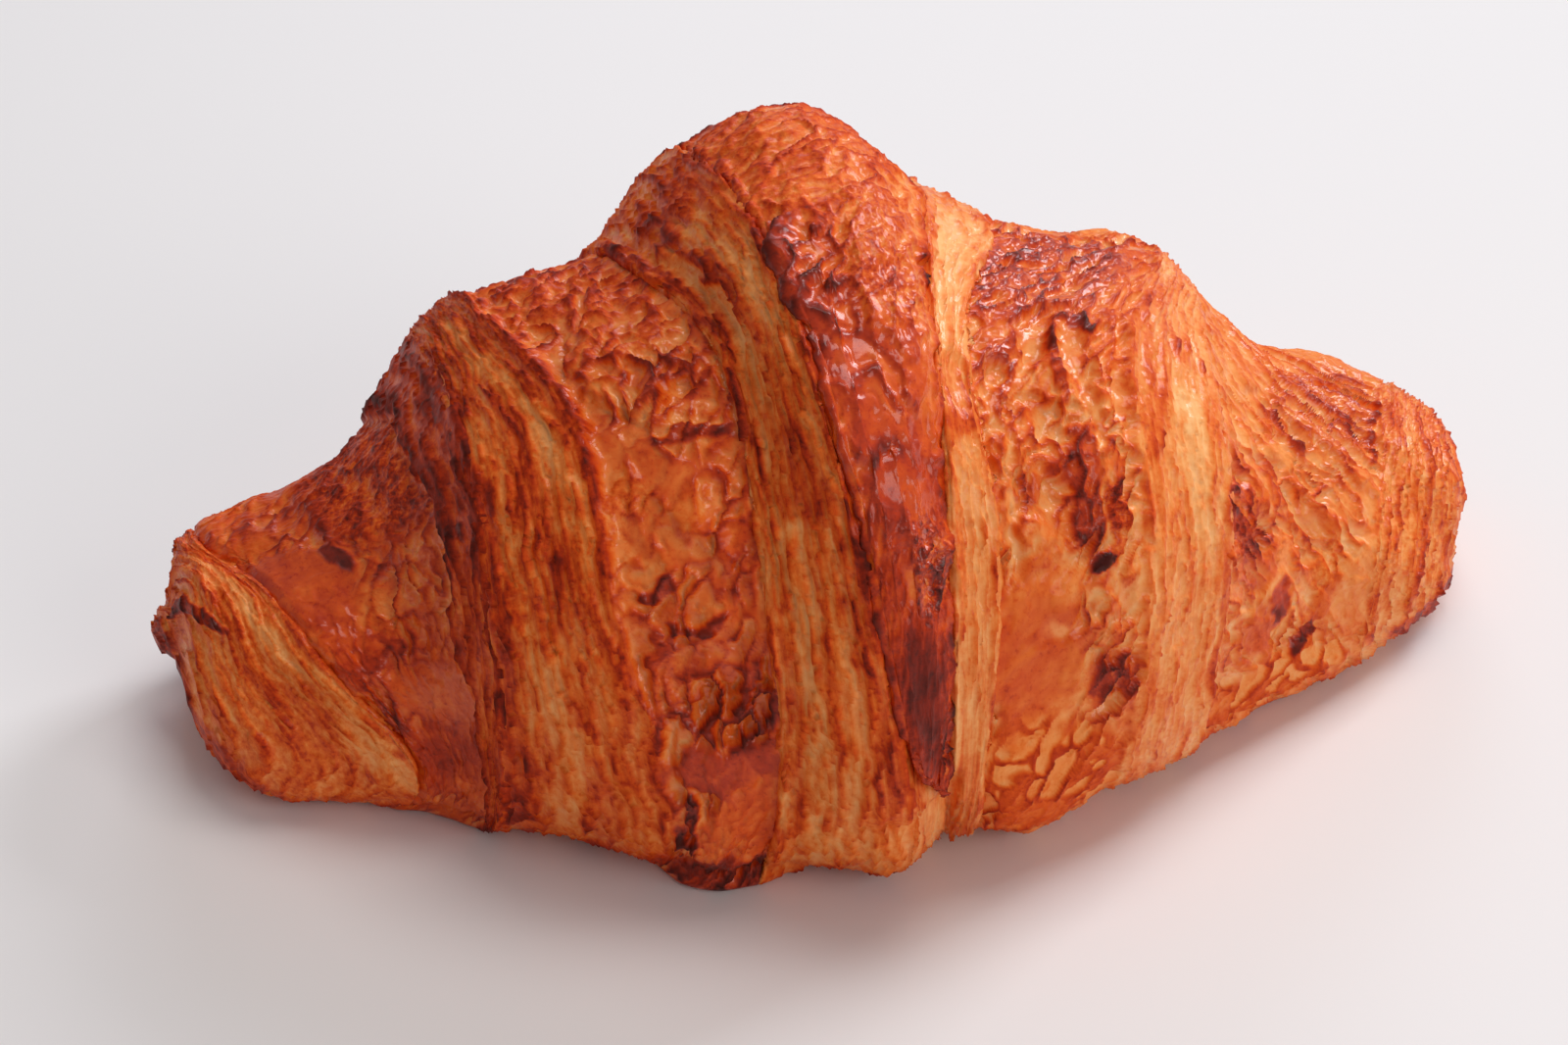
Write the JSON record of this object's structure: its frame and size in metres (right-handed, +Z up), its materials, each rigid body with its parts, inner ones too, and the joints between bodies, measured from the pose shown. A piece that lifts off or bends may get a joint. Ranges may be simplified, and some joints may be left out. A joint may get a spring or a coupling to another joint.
{
  "type": "croissant",
  "caption": "Baked croissant rolled from laminated dough, with stepped wraps, a flap down the front and a flat base.",
  "frame": {"origin": "middle of the box round the croissant, on the surface it rests on", "axes": "+X from the left tip to the right tip, -Y the front with the hanging flap, +Z up"},
  "size_m": [0.16, 0.0898, 0.0732],
  "materials": {
    "crust": null
  },
  "bodies": {
    "root": {"croissant": "crust"}
  },
  "joints": []
}
